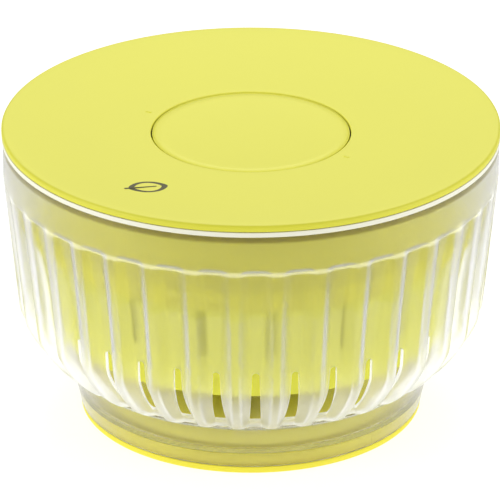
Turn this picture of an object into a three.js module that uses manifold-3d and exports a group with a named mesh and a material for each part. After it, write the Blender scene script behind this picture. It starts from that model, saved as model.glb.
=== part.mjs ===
// Salad spinner with a flush pump button, in millimetres, +Z up.
// The origin is the centre of the circle that the foot ring stands on. A slotted, fluted bowl
// holds a turning basket on a central pin. The lid carries a pump: a button on a twisted spindle
// turns a nut, and the nut drives the plate that turns the basket.

import * as THREE from 'three';
import { mergeVertices } from 'three/addons/utils/BufferGeometryUtils.js';
import Module from 'manifold-3d';

const wasm = await Module();
wasm.setup();

// ---- Driving dimensions: bowl ----
const bowlHeight = 155.7; // standing surface to the top of the rim
const rimRadius = 130.2; // outside of the rim bead
const rimBeadHeight = 2.7;
const rimBeadReach = 1.2; // how far the bead stands out of the wall
const rimLandWidth = 2.6; // flat top of the rim
const wallThickness = 2.3;
const smoothBandHeight = 23; // plain band between the rim and the flutes
const wallLean = 7.2; // how far the crests lean in from the band to the knee
const kneeHeight = 59.5; // where the straight wall starts to curve in
const kneeCurve = 1.3; // exponent of that curve: 1 is a cone, 2 is an ellipse
const shoulderHeight = 30; // where the ribs end over the base
const ribOverhang = 2.7; // how far the rib ends stand out of the base
const baseTopRadius = 95.8;
const baseFootRadius = 90.6;
const floorHeight = 14.5; // top of the bowl's floor
const floorThickness = 2.5;
const sumpDepth = 36.3; // bowl's floor up to the underside of the basket

const fluteCount = 36;
const fluteDepth = 6.3;
const fluteRunIn = 4; // height over which a flute gets its full depth
const fluteTurn = -88.8; // degrees, where one valley faces the front
const fluteShape = [[0, 0], [0.3, 1], [0.7, 1]]; // place in a flute, share of its depth

const slotBottom = 35;
const slotTop = 71;
const slotBottomWidth = 5.9;
const slotTopWidth = 3.9;

// ---- Driving dimensions: foot ring, pin and bush ----
const footBandHeight = 3.9; // the part of the ring that shows
const footRingWidth = 12;
const footCollarHeight = 7.6;
const footCollarThickness = 2.4;
const footWebThickness = 2; // the disc that closes the collar under the bowl's floor
const footWebHole = 8; // radius of the hole in that disc
const footTabCount = 4;
const footTabWidth = 18;
const footTabTurn = -129; // degrees
const pinRadius = 3;
const pinSocketDepth = 12;
const bushWall = 3;
const bushFlange = 2.5;

// ---- Driving dimensions: basket ----
const basketGap = 5.9; // basket to bowl at the basket's floor
const basketWall = 1.8;
const basketLip = 1.3; // how far its rim stands out
const basketLipHeight = 3.2;
const basketSlotCount = 18;
const basketSlotWidth = 3.2;
const basketSlotMargin = 24; // plain wall above the floor
const basketSlotSpacing = 6; // plain wall between the two tiers
const floorSlotWidth = 3.2;
const notchCount = 6; // drive notches in the rim
const notchWidth = 12;
const notchDepth = 4;

// ---- Driving dimensions: lid and button ----
const lidOverhang = 0.1; // lid edge past the rim bead
const lidEdgeHeight = 3.5;
const lidThickness = 2.4;
const dishDepth = 4.9; // lid's edge down to the button
const dishCurve = 1.6;
const skirtDepth = 50; // lid's underside down to the skirt's edge
const skirtThickness = 1.6;
const skirtGap = 0.9; // skirt bead to the bowl's valleys
const skirtBeadHeight = 10;
const skirtBeadReach = 0.9;
const locatingRibDepth = 3.5;
const locatingRibThickness = 1.8;
const buttonRadius = 51.6;
const buttonGap = 0.7;
const buttonHollow = 1.6; // how far the button's middle lies below its edge
const buttonWall = 1.9;
const buttonTopThickness = 2.2;
const buttonLugReach = 1.4;
const buttonLugHeight = 3;
const buttonLugAngle = 14; // degrees
const buttonLugCount = 3;
const buttonGuide = 6.8; // skirt that stays in the well when the button is up

// ---- Driving dimensions: mechanism ----
const wellGap = 3; // button to the well's wall
const wellWall = 2;
const wellFloorGap = 4.7; // button's skirt to the well's floor
const wellFloorThickness = 2.3;
const wellFlangeWidth = 9.9;
const screwCount = 4;
const screwTurn = 45; // degrees
const screwShank = 1.5;
const screwHead = 2.8;
const screwHeadHeight = 1.9;
const chamberRadius = 15.4; // inside of the nut chamber
const chamberWall = 2;
const chamberDepth = 13.5;
const chamberLipHeight = 1.5;
const spindleWidth = 9.2;
const spindleThickness = 4.8;
const spindleLead = 40; // rise for one turn
const nutHeight = 8;
const nutGap = 0.5; // spindle to the nut's hole
const toothCount = 12;
const toothHeight = 2.2;
const springRadius = 14;
const springWire = 1.8;
const springTurns = 6;
const plateThickness = 2;
const spindleSpare = 0.8; // spindle left below the nut when the button is up
const tipGap = 1;
const columnFloorThickness = 1.5;
const hubGap = 1.4; // column to the basket's hub
const hubRise = 5.6; // basket's hub above the underside of its floor

// ---- Clearances ----
const meshGap = 0.3; // parts that touch
const runGap = 0.6; // parts that turn in each other
const axialGap = 0.4;

// ---- Facets ----
const largeSegments = 36;
const smallSegments = 20;
const screwSegments = 12;

// ---------------------------------------------------------------------------
// Solid helpers
// ---------------------------------------------------------------------------

const radians = THREE.MathUtils.degToRad;
const mix = THREE.MathUtils.lerp;

// Welds a geometry to shared corners, drops flat triangles and winds the faces outwards.
function closedGeometry(source) {
  const bare = source.clone();
  bare.deleteAttribute('normal');
  bare.deleteAttribute('uv');
  const welded = mergeVertices(bare, 1e-4);
  const corners = welded.index.array;
  const point = [new THREE.Vector3(), new THREE.Vector3(), new THREE.Vector3()];
  const triangles = [];
  let volume = 0;
  for (let i = 0; i < corners.length; i += 3) {
    const [a, b, c] = [corners[i], corners[i + 1], corners[i + 2]];
    if (a === b || b === c || c === a) continue;
    triangles.push([a, b, c]);
    point.forEach((p, k) => p.fromBufferAttribute(welded.attributes.position, corners[i + k]));
    volume += point[0].dot(point[1].cross(point[2]));
  }
  const outward = volume > 0 ? triangles : triangles.map(([a, b, c]) => [a, c, b]);
  welded.setIndex(outward.flat());
  return welded;
}

function toSolid(geometry) {
  const closed = closedGeometry(geometry);
  return new wasm.Manifold(new wasm.Mesh({
    numProp: 3,
    vertProperties: Float32Array.from(closed.attributes.position.array),
    triVerts: Uint32Array.from(closed.index.array),
  }));
}

function toGeometry(solid) {
  const mesh = solid.getMesh();
  const geometry = new THREE.BufferGeometry();
  geometry.setAttribute('position', new THREE.BufferAttribute(mesh.vertProperties, 3));
  geometry.setIndex(new THREE.BufferAttribute(mesh.triVerts, 1));
  return geometry;
}

// Joins the added geometries to a body, then cuts the others away from it.
function shaped(body, added, cuts) {
  let solid = toSolid(body);
  for (const piece of added) solid = solid.add(toSolid(piece));
  for (const tool of cuts) solid = solid.subtract(toSolid(tool));
  return toGeometry(solid);
}

// A turned body about the Z axis, from [radius, height] pairs.
function turned(profile, segments) {
  const points = profile.map(([radius, height]) => new THREE.Vector2(radius, height));
  const onAxis = profile[0][0] === 0 && profile[profile.length - 1][0] === 0;
  if (!onAxis) points.push(points[0].clone());
  return new THREE.LatheGeometry(points, segments).rotateX(Math.PI / 2);
}

// A closed skin through rings of points. A ring of one point closes an end.
function lofted(rings) {
  const vertices = rings.flat().flatMap((p) => [p.x, p.y, p.z]);
  const triangles = [];
  let start = 0;
  for (let r = 0; r + 1 < rings.length; r += 1) {
    const next = start + rings[r].length;
    const count = Math.max(rings[r].length, rings[r + 1].length);
    for (let i = 0; i < count; i += 1) {
      const j = (i + 1) % count;
      const [a, b] = [start + (i % rings[r].length), start + (j % rings[r].length)];
      const [c, d] = [next + (i % rings[r + 1].length), next + (j % rings[r + 1].length)];
      triangles.push(a, b, d, a, d, c);
    }
    start = next;
  }
  const geometry = new THREE.BufferGeometry();
  geometry.setAttribute('position', new THREE.Float32BufferAttribute(vertices, 3));
  geometry.setIndex(triangles);
  return geometry;
}

// A prism with its outline across the radius (x is sideways, y is height) at a compass angle.
function radialPrism(outline, degrees, fromRadius, toRadius) {
  const shape = new THREE.Shape(outline.map(([x, y]) => new THREE.Vector2(x, y)));
  const depth = toRadius - fromRadius;
  const prism = new THREE.ExtrudeGeometry(shape, { depth, bevelEnabled: false, steps: 1 });
  const angle = radians(degrees);
  const radial = new THREE.Vector3(Math.cos(angle), Math.sin(angle), 0);
  const sideways = new THREE.Vector3(-Math.sin(angle), Math.cos(angle), 0);
  const frame = new THREE.Matrix4().makeBasis(sideways, new THREE.Vector3(0, 0, 1), radial);
  return prism.translate(0, 0, fromRadius).applyMatrix4(frame);
}

function rectangle(width, bottom, top) {
  return [[-width / 2, bottom], [width / 2, bottom], [width / 2, top], [-width / 2, top]];
}

// A piece of ring between two radii and heights, about one compass angle.
function ringPiece(inner, outer, bottom, top, degrees, spread) {
  const steps = 4;
  const shape = new THREE.Shape();
  for (let i = 0; i <= steps; i += 1) {
    const angle = radians(degrees + spread * (i / steps - 0.5));
    const corner = [outer * Math.cos(angle), outer * Math.sin(angle)];
    if (i === 0) shape.moveTo(...corner);
    else shape.lineTo(...corner);
  }
  for (let i = steps; i >= 0; i -= 1) {
    const angle = radians(degrees + spread * (i / steps - 0.5));
    shape.lineTo(inner * Math.cos(angle), inner * Math.sin(angle));
  }
  const depth = top - bottom;
  const piece = new THREE.ExtrudeGeometry(shape, { depth, bevelEnabled: false, steps: 1 });
  return piece.translate(0, 0, bottom);
}

function around(count, firstDegrees, make) {
  return Array.from({ length: count }, (_, i) => make(firstDegrees + (360 / count) * i, i));
}

// ---------------------------------------------------------------------------
// Bowl wall: shared by every part that fits inside it
// ---------------------------------------------------------------------------

const bandRadius = rimRadius - rimBeadReach / 2;
const fluteTop = bowlHeight - smoothBandHeight;
const kneeRadius = bandRadius - wallLean;
const ribEndRadius = baseTopRadius + ribOverhang;
const ribEndBlend = 5; // height over which the flutes fade into the base

function crestRadius(height) {
  if (height >= kneeHeight) {
    const share = Math.min((height - kneeHeight) / (fluteTop - kneeHeight), 1);
    return mix(kneeRadius, bandRadius, share);
  }
  const drop = Math.min((kneeHeight - height) / (kneeHeight - shoulderHeight), 1);
  const reach = (1 - drop ** kneeCurve) ** (1 / kneeCurve);
  return mix(ribEndRadius, kneeRadius, reach);
}

function fluteDepthAt(height) {
  const top = THREE.MathUtils.clamp((fluteTop - height) / fluteRunIn, 0, 1);
  const end = THREE.MathUtils.clamp((height - shoulderHeight) / ribEndBlend, 0, 1);
  return top * mix(ribOverhang, fluteDepth, end);
}

function valleyRadius(height) {
  return crestRadius(height) - fluteDepthAt(height);
}

function baseRadius(height) {
  const share = (height - meshGap - footBandHeight) / (shoulderHeight - 1 - footBandHeight);
  return mix(baseFootRadius, baseTopRadius, share);
}

// Least inner radius of the fluted wall, with the flat facets between valley corners.
function innerValleyRadius(height) {
  const halfFacet = radians(360 / fluteCount) * 0.2;
  return (valleyRadius(height) - wallThickness) * Math.cos(halfFacet);
}

function wallRing(height, inset, depth = fluteDepthAt(height)) {
  return around(fluteCount, fluteTurn + 180 / fluteCount, (degrees) => degrees).flatMap((degrees) =>
    fluteShape.map(([place, share]) => {
      const angle = radians(degrees + (place * 360) / fluteCount);
      const radius = crestRadius(height) - depth * share - inset;
      return new THREE.Vector3(radius * Math.cos(angle), radius * Math.sin(angle), height);
    }));
}

function plainRing(height, radius) {
  return wallRing(height, crestRadius(height) - radius, 0);
}

const centre = (height) => [new THREE.Vector3(0, 0, height)];

// ---------------------------------------------------------------------------
// Heights and radii that follow from the driving dimensions
// ---------------------------------------------------------------------------

// Lid and button
const lidUnderside = bowlHeight + meshGap;
const lidTop = lidUnderside + lidEdgeHeight;
const lidRadius = rimRadius + lidOverhang;
const openingRadius = buttonRadius + buttonGap;
const buttonTop = lidTop - dishDepth;

// The button's travel is half of the height that nothing else fills, because both the well and
// the spindle below it need that much depth.
const basketFloorBottom = floorHeight + sumpDepth;
const nutRest = chamberLipHeight + meshGap; // nut above the foot of its chamber
const filledHeight = buttonGuide + wellFloorGap + wellFloorThickness + chamberDepth - nutRest
  + spindleSpare + tipGap + columnFloorThickness + hubGap + hubRise;
const buttonTravel = (buttonTop - basketFloorBottom - filledHeight) / 2;
const buttonBottom = buttonTop - buttonTravel - buttonGuide;
const lugRadius = buttonRadius + buttonLugReach;

// Skirt
const skirtBottom = lidUnderside - skirtDepth;
const skirtRadius = innerValleyRadius(skirtBottom) - skirtGap;
const skirtInner = skirtRadius - skirtBeadReach - skirtThickness;

// Well and nut chamber, downwards from the button
const wellInner = buttonRadius + wellGap;
const wellOuter = wellInner + wellWall;
const wellFloorTop = buttonBottom - wellFloorGap;
const wellFloorBottom = wellFloorTop - wellFloorThickness;
const chamberOuter = chamberRadius + chamberWall;
const chamberBottom = wellFloorBottom - chamberDepth;
const chamberLipRadius = chamberRadius - 1.4;
const hubBeadRadius = chamberOuter + 1.9;
const hubBeadBottom = chamberBottom + 3.5;
const hubBeadTop = hubBeadBottom + 2;
const nutBottom = chamberBottom + nutRest;
const nutTop = nutBottom + nutHeight;

// Drive plate
const sleeveInner = hubBeadRadius + runGap;
const sleeveOuter = sleeveInner + 2.1;
const sleeveTop = hubBeadTop + 1;
const hubTop = chamberBottom - 3.5;
const hubBottom = hubTop - plateThickness;
const spindleTip = nutBottom - buttonTravel - spindleSpare;
const columnInner = spindleWidth / 2 + 2.4;
const columnOuter = columnInner + 2;
const columnFloor = spindleTip - tipGap;
const columnBottom = columnFloor - columnFloorThickness;

// Basket, below the column and inside the wall
const basketHubTop = basketFloorBottom + hubRise;
const basketFloorTop = basketFloorBottom + basketWall;
const basketFootRadius = innerValleyRadius(basketFloorBottom) - basketGap;
const basketTop = lidUnderside - 15.8;
const basketTopRadius = skirtInner - 1.5 - basketLip;

function basketRadius(height) {
  const share = (height - basketFloorBottom) / (basketTop - basketFloorBottom);
  return mix(basketFootRadius, basketTopRadius, share);
}

const bushTop = basketHubTop - basketWall - axialGap;
const bushBore = pinRadius + 0.5;
const bushRadius = bushBore + bushWall;
const pinTop = bushTop - 2 - axialGap;
const pivotTop = basketFloorBottom - 12.5;
const hubWallInner = bushRadius + runGap;
const hubWallOuter = hubWallInner + 2.6;

// Carrier and spindle
const springBottom = wellFloorTop + 1.5 + 2 * meshGap;
const carrierDisc = springBottom + springWire * springTurns * 1.9;
const carrierDiscThickness = 2.5;
const carrierTop = buttonTop - 7.1;
const carrierRadius = buttonRadius - buttonWall - axialGap;
const spindleHead = 5;
const spindleHeadBottom = carrierDisc - 4;
const spindleBoreBottom = spindleHeadBottom + 1.5;
const screwBore = screwShank + 0.5;

// Screws that hold the well under the lid
const screwCircle = wellOuter + 5.4;
const flangeTop = buttonTop - 9.6;
const flangeBottom = flangeTop - 2;

// Lid surface height at a radius
function dishHeight(radius) {
  const share = THREE.MathUtils.clamp((radius - openingRadius) / (lidRadius - 6 - openingRadius), 0, 1);
  return buttonTop + (dishDepth - 0.3) * share ** dishCurve;
}

// ---------------------------------------------------------------------------
// Pieces
// ---------------------------------------------------------------------------

function outerBowl() {
  const beadBottom = bowlHeight - rimBeadHeight;
  const neck = beadBottom - 0.4;
  const skirtInnerFoot = baseFootRadius - wallThickness;
  const underFloor = floorHeight - floorThickness;
  const fullFlute = fluteTop - fluteRunIn;
  const curve = [0.84, 0.48, 0].map((share) => mix(kneeHeight, shoulderHeight, share));
  const innerRim = rimRadius - rimLandWidth - 0.8;
  const rings = [
    centre(underFloor),
    plainRing(underFloor, baseRadius(underFloor) - wallThickness),
    plainRing(footBandHeight + meshGap, skirtInnerFoot),
    plainRing(footBandHeight + meshGap, baseFootRadius),
    plainRing(shoulderHeight - 1, baseTopRadius),
    wallRing(shoulderHeight, 0),
    ...curve.map((height) => wallRing(height, 0)),
    wallRing(fullFlute, 0),
    wallRing(fluteTop, 0),
    plainRing(neck, bandRadius - 0.3),
    plainRing(beadBottom, rimRadius),
    plainRing(bowlHeight, rimRadius),
    plainRing(bowlHeight, innerRim),
    wallRing(fluteTop, wallThickness),
    wallRing(fullFlute, wallThickness),
    ...[...curve].reverse().map((height) => wallRing(height, wallThickness)),
    wallRing(shoulderHeight, wallThickness),
    plainRing(floorHeight, baseRadius(floorHeight) - wallThickness),
    centre(floorHeight),
  ];
  const boss = turned([
    [0, underFloor + 0.5], [15, underFloor + 0.5], [15, floorHeight], [bushRadius + 1.5, pivotTop],
    [pinRadius + meshGap, pivotTop], [pinRadius + meshGap, pivotTop - pinSocketDepth],
    [0, pivotTop - pinSocketDepth],
  ], smallSegments);
  const arch = slotTopWidth / 2;
  const slotOutline = [
    [-slotBottomWidth / 2, slotBottom], [slotBottomWidth / 2, slotBottom],
    [arch, slotTop - arch], [0, slotTop], [-arch, slotTop - arch],
  ];
  const innermost = valleyRadius(slotBottom) - wallThickness - 6;
  const slots = around(fluteCount, fluteTurn, (degrees) =>
    radialPrism(slotOutline, degrees, innermost, crestRadius(slotTop) + 2));
  return shaped(lofted(rings), [boss], slots);
}

function footRing() {
  const outer = baseFootRadius - 0.2;
  const collarOuter = baseFootRadius - wallThickness - runGap;
  const collarInner = collarOuter - footCollarThickness;
  const collarTop = footBandHeight + footCollarHeight;
  const soleInner = outer - footRingWidth;
  const soleThickness = footBandHeight - 0.9;
  const webUnderside = collarTop - footWebThickness;
  const body = turned([
    [soleInner, 0], [outer - 1.4, 0], [outer - 0.4, 1], [outer, footBandHeight],
    [collarOuter, footBandHeight], [collarOuter, collarTop], [footWebHole, collarTop],
    [footWebHole, webUnderside], [collarInner, webUnderside],
    [collarInner, soleThickness], [soleInner, soleThickness],
  ], largeSegments);
  const tabs = around(footTabCount, footTabTurn, (degrees) => radialPrism(
    rectangle(footTabWidth, soleThickness - 0.5, collarTop), degrees, collarInner - 2, collarInner + 0.8));
  return shaped(body, tabs, []);
}

function pivotPin() {
  const bottom = pivotTop - pinSocketDepth + meshGap;
  return turned([
    [0, bottom], [pinRadius, bottom], [pinRadius, pinTop - 1], [pinRadius - 1.2, pinTop], [0, pinTop],
  ], smallSegments);
}

function basketBush() {
  const bottom = pivotTop + axialGap;
  return turned([
    [bushBore, bottom], [bushRadius + bushFlange, bottom], [bushRadius + bushFlange, bottom + 1.6],
    [bushRadius, bottom + 1.6], [bushRadius, bushTop - 0.8], [bushRadius - 0.8, bushTop], [0, bushTop],
    [0, pinTop + axialGap], [bushBore, pinTop + axialGap],
  ], smallSegments);
}

function basket() {
  const hubBottomHeight = pivotTop + axialGap + 1.6 + axialGap;
  const lipBottom = basketTop - basketLipHeight;
  const inner = (height) => basketRadius(height) - basketWall;
  const body = turned([
    [0, basketHubTop], [hubWallOuter - 1.2, basketHubTop], [hubWallOuter, basketHubTop - 1.2],
    [hubWallOuter, basketFloorTop], [inner(basketFloorTop), basketFloorTop],
    [inner(basketTop), basketTop], [basketTopRadius + basketLip, basketTop],
    [basketTopRadius + basketLip, lipBottom], [basketRadius(lipBottom), lipBottom],
    [basketFootRadius, basketFloorBottom], [hubWallOuter, basketFloorBottom],
    [hubWallOuter, hubBottomHeight], [hubWallInner, hubBottomHeight],
    [hubWallInner, basketHubTop - basketWall], [0, basketHubTop - basketWall],
  ], largeSegments).rotateZ(radians(fluteTurn + 180 / largeSegments));
  const basketSlotTurn = fluteTurn + 180 / fluteCount; // behind the ribs
  const tierBottom = basketFloorBottom + basketSlotMargin;
  const tierTop = lipBottom - notchDepth;
  const tierHeight = (tierTop - tierBottom - basketSlotSpacing) / 2;
  const tiers = [tierBottom, tierBottom + tierHeight + basketSlotSpacing];
  const wallSlots = tiers.flatMap((bottom) => around(basketSlotCount, basketSlotTurn, (degrees) =>
    radialPrism(rectangle(basketSlotWidth, bottom, bottom + tierHeight), degrees,
      inner(bottom) - 4, basketRadius(bottom + tierHeight) + 3)));
  const floorMiddle = (hubWallOuter + basketFootRadius) / 2;
  const floorSlot = (from, to) => (degrees) => radialPrism(
    rectangle(floorSlotWidth, basketFloorBottom - 2, basketFloorTop + 2), degrees, from, to);
  const floorSlots = [
    ...around(basketSlotCount / 2, basketSlotTurn, floorSlot(hubWallOuter + 9, floorMiddle - 7)),
    ...around(basketSlotCount, basketSlotTurn, floorSlot(floorMiddle + 2, basketFootRadius - 9)),
  ];
  const notches = around(notchCount, fluteTurn, (degrees) => radialPrism(
    rectangle(notchWidth, basketTop - notchDepth, basketTop + 2), degrees,
    inner(basketTop) - 5, basketTopRadius + 0.1));
  return shaped(body, [], [...wallSlots, ...floorSlots, ...notches]);
}

function lidCover() {
  const ribOuter = rimRadius - rimLandWidth - 0.8 - 1.1;
  const ribInner = ribOuter - locatingRibThickness;
  const skirtOuterTop = skirtRadius - skirtBeadReach;
  const beadTop = skirtBottom + skirtBeadHeight;
  const dishShares = [0, 0.4, 0.75, 1];
  const dishEnd = lidRadius - 6;
  const dishRadii = dishShares.map((share) => mix(openingRadius, dishEnd, share));
  const under = (radius) => dishHeight(radius) - lidThickness;
  const underRadii = [skirtInner, mix(openingRadius, skirtInner, 0.5), openingRadius];
  const body = turned([
    ...dishRadii.map((radius) => [radius, dishHeight(radius)]),
    [lidRadius - 2.4, lidTop], [lidRadius - 0.6, lidTop - 0.8], [lidRadius, lidTop - 2.2],
    [lidRadius - 0.3, lidUnderside], [ribOuter, lidUnderside],
    [ribOuter, lidUnderside - locatingRibDepth], [ribInner, lidUnderside - locatingRibDepth],
    [ribInner, lidUnderside], [skirtOuterTop, lidUnderside], [skirtOuterTop, beadTop + 1],
    [skirtRadius, beadTop], [skirtRadius, skirtBottom], [skirtRadius - skirtThickness, skirtBottom],
    [skirtInner, beadTop],
    ...underRadii.map((radius) => [radius, under(radius)]),
  ], largeSegments);
  const bosses = around(screwCount, screwTurn, (degrees) => {
    const boss = new THREE.CylinderGeometry(3.8, 3.8, under(screwCircle) + 1 - flangeTop - meshGap, 12);
    const middle = (under(screwCircle) + 1 + flangeTop + meshGap) / 2;
    return placed(boss, degrees, screwCircle, middle);
  });
  const bores = around(screwCount, screwTurn, (degrees) =>
    placed(new THREE.CylinderGeometry(screwBore, screwBore, 12, 12), degrees, screwCircle, flangeTop));
  return shaped(body, bosses, bores);
}

// Stands a cylinder along Z at a compass angle, radius and height.
function placed(cylinder, degrees, radius, height) {
  const angle = radians(degrees);
  return cylinder.rotateX(Math.PI / 2)
    .translate(radius * Math.cos(angle), radius * Math.sin(angle), height);
}

function mechanismHousing() {
  const flangeOuter = wellOuter + wellFlangeWidth;
  const wellTop = dishHeight(wellOuter) - lidThickness - 0.9;
  const body = turned([
    [chamberRadius, wellFloorTop], [wellInner, wellFloorTop], [wellInner, wellTop], [wellOuter, wellTop],
    [wellOuter, flangeTop], [flangeOuter, flangeTop], [flangeOuter, flangeBottom],
    [wellOuter, flangeBottom], [wellOuter, wellFloorBottom], [chamberOuter, wellFloorBottom],
    [chamberOuter, hubBeadTop], [hubBeadRadius, hubBeadTop], [hubBeadRadius, hubBeadBottom],
    [chamberOuter, hubBeadBottom - 1], [chamberOuter, chamberBottom], [chamberLipRadius, chamberBottom],
    [chamberLipRadius, chamberBottom + chamberLipHeight],
    [chamberRadius, chamberBottom + chamberLipHeight],
  ], largeSegments);
  const ledgeBottom = buttonBottom + buttonLugHeight + meshGap;
  const ledges = around(buttonLugCount, fluteTurn, (degrees) => ringPiece(
    lugRadius + axialGap, wellInner + wellWall / 2, ledgeBottom, ledgeBottom + 2, degrees, buttonLugAngle));
  const holes = around(screwCount, screwTurn, (degrees) =>
    placed(new THREE.CylinderGeometry(screwBore, screwBore, 8, 12), degrees, screwCircle, flangeTop - 1));
  return shaped(body, ledges, holes);
}

function housingScrew(degrees) {
  const headTop = flangeBottom - meshGap;
  const screw = turned([
    [0, headTop - screwHeadHeight], [screwHead - 0.6, headTop - screwHeadHeight],
    [screwHead, headTop - 0.5], [screwHead, headTop], [screwShank, headTop],
    [screwShank, flangeTop + 4.6], [0, flangeTop + 5.2],
  ], screwSegments);
  const angle = radians(degrees);
  return screw.translate(screwCircle * Math.cos(angle), screwCircle * Math.sin(angle), 0);
}

// Outline of the twisted bar, grown by a clearance.
function barOutline(grow) {
  const halfWidth = spindleWidth / 2 + grow;
  const halfThickness = spindleThickness / 2 + grow;
  const corner = 1.2;
  return [
    [halfWidth, -halfThickness + corner], [halfWidth, halfThickness - corner],
    [halfWidth - corner, halfThickness], [-halfWidth + corner, halfThickness],
    [-halfWidth, halfThickness - corner], [-halfWidth, -halfThickness + corner],
    [-halfWidth + corner, -halfThickness], [halfWidth - corner, -halfThickness],
  ];
}

// A bar that turns once around for each lead of height.
function twistedBar(grow, bottom, top, stepHeight) {
  const steps = Math.max(Math.round((top - bottom) / stepHeight), 1);
  const rings = Array.from({ length: steps + 1 }, (_, i) => {
    const height = mix(bottom, top, i / steps);
    const angle = (height / spindleLead) * Math.PI * 2;
    return barOutline(grow).map(([x, y]) => new THREE.Vector3(
      x * Math.cos(angle) - y * Math.sin(angle), x * Math.sin(angle) + y * Math.cos(angle), height));
  });
  return lofted([centre(bottom), ...rings, centre(top)]);
}

function spindle() {
  const headTop = carrierTop - meshGap;
  const head = turned([
    [0, spindleHeadBottom], [spindleHead, spindleHeadBottom], [spindleHead, headTop], [0, headTop],
  ], smallSegments);
  const bore = turned([
    [0, spindleBoreBottom], [screwBore, spindleBoreBottom], [screwBore, headTop + 1], [0, headTop + 1],
  ], screwSegments);
  return shaped(twistedBar(0, spindleTip, spindleHeadBottom + 1, 2.5), [head], [bore]);
}

function spindleScrew() {
  const headBottom = carrierTop + meshGap;
  return turned([
    [0, spindleBoreBottom + 0.5], [screwShank, spindleBoreBottom + 1], [screwShank, headBottom],
    [6.5, headBottom], [6.5, headBottom + 1], [5, headBottom + 1.8], [0, headBottom + 1.8],
  ], screwSegments);
}

function driveNut() {
  const toothTip = chamberBottom - 0.7;
  const toothRoot = toothTip + toothHeight;
  const boss = chamberLipRadius - runGap;
  const body = turned([
    [0, toothRoot], [boss, toothRoot], [boss, nutBottom], [chamberRadius - runGap, nutBottom],
    [chamberRadius - runGap, nutTop], [0, nutTop],
  ], largeSegments);
  const hole = twistedBar(nutGap, toothTip - 1, nutTop + 1, 1.5);
  return shaped(body, ratchetTeeth(toothRoot, -toothHeight, boss), [hole]);
}

// Saw teeth on a ring: each is a wedge that rises along the circle.
function ratchetTeeth(root, height, outerRadius) {
  const innerRadius = outerRadius - 4;
  const width = ((Math.PI * 2 * innerRadius) / toothCount) * 0.8;
  const sink = -Math.sign(height) * 0.6;
  const wedge = [[-width / 2, root + sink], [width / 2, root + sink], [width / 2, root + height],
    [width / 2 - 0.8, root + height], [-width / 2, root + height * 0.1]];
  return around(toothCount, 0, (degrees) => radialPrism(wedge, degrees, innerRadius, outerRadius - 0.3));
}

function nutWasher() {
  const bottom = nutTop + meshGap;
  return turned([
    [6.4, bottom], [chamberRadius - runGap, bottom], [chamberRadius - runGap, bottom + 0.8],
    [6.4, bottom + 0.8],
  ], smallSegments);
}

function nutCap() {
  const bossBottom = nutTop + 1.4;
  const discBottom = wellFloorTop + meshGap;
  return turned([
    [6.2, bossBottom], [chamberRadius - meshGap - 0.1, bossBottom],
    [chamberRadius - meshGap - 0.1, discBottom], [chamberRadius + 6, discBottom],
    [chamberRadius + 6, discBottom + 1.2], [chamberRadius + 5.5, discBottom + 1.5],
    [6.2, discBottom + 1.5],
  ], smallSegments);
}

function hubWasher() {
  const bottom = hubBeadTop + 0.2;
  return turned([
    [chamberOuter + runGap, bottom], [sleeveInner - meshGap, bottom],
    [sleeveInner - meshGap, bottom + 0.7], [chamberOuter + runGap, bottom + 0.7],
  ], smallSegments);
}

function hubRing() {
  const bottom = sleeveTop + meshGap;
  return turned([
    [chamberOuter + runGap, bottom], [sleeveOuter, bottom], [sleeveOuter, bottom + 1.5],
    [sleeveOuter - 0.5, bottom + 2], [chamberOuter + runGap, bottom + 2],
  ], smallSegments);
}

function drivePlate() {
  const rimBottom = basketTop + meshGap;
  const rimTop = rimBottom + plateThickness;
  const rimOuter = basketTopRadius + basketLip - 0.5;
  const coneTop = wellOuter + wellFlangeWidth + 1;
  const coneBottom = wellOuter + runGap;
  const dishBottom = sleeveTop - 3;
  const body = turned([
    [0, columnBottom], [columnOuter, columnBottom], [columnOuter, hubBottom], [sleeveOuter, hubBottom],
    [sleeveOuter, dishBottom], [coneBottom + 1.4, dishBottom], [coneTop + 1.6, rimBottom],
    [rimOuter, rimBottom], [rimOuter, rimTop], [coneTop, rimTop],
    [coneBottom, dishBottom + plateThickness], [sleeveOuter, dishBottom + plateThickness],
    [sleeveOuter, sleeveTop], [sleeveInner, sleeveTop], [sleeveInner, hubTop], [columnInner, hubTop],
    [columnInner, columnFloor], [0, columnFloor],
  ], largeSegments).rotateZ(radians(fluteTurn));
  const lugs = around(notchCount, fluteTurn, (degrees) => radialPrism(
    rectangle(notchWidth - 2 * runGap, basketTop - notchDepth + runGap, rimBottom + 0.5), degrees,
    basketTopRadius - basketWall - 1.5, basketTopRadius - runGap));
  const teeth = ratchetTeeth(hubTop, toothHeight, chamberLipRadius - runGap);
  return shaped(body, [...lugs, ...teeth], []);
}

function returnSpring() {
  const wireGap = springWire / 2 + meshGap;
  const bottom = springBottom + wireGap;
  const height = carrierDisc - wireGap - bottom;
  const steps = springTurns * 8;
  const points = Array.from({ length: steps + 1 }, (_, i) => {
    const angle = (i / steps) * springTurns * Math.PI * 2;
    return new THREE.Vector3(springRadius * Math.cos(angle), springRadius * Math.sin(angle),
      bottom + (height * i) / steps);
  });
  const section = new THREE.Shape(Array.from({ length: 6 }, (_, i) => new THREE.Vector2(
    (springWire / 2) * Math.cos(i * Math.PI / 3), (springWire / 2) * Math.sin(i * Math.PI / 3))));
  const extrudePath = new THREE.CatmullRomCurve3(points);
  return new THREE.ExtrudeGeometry(section, { steps, bevelEnabled: false, extrudePath });
}

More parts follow.
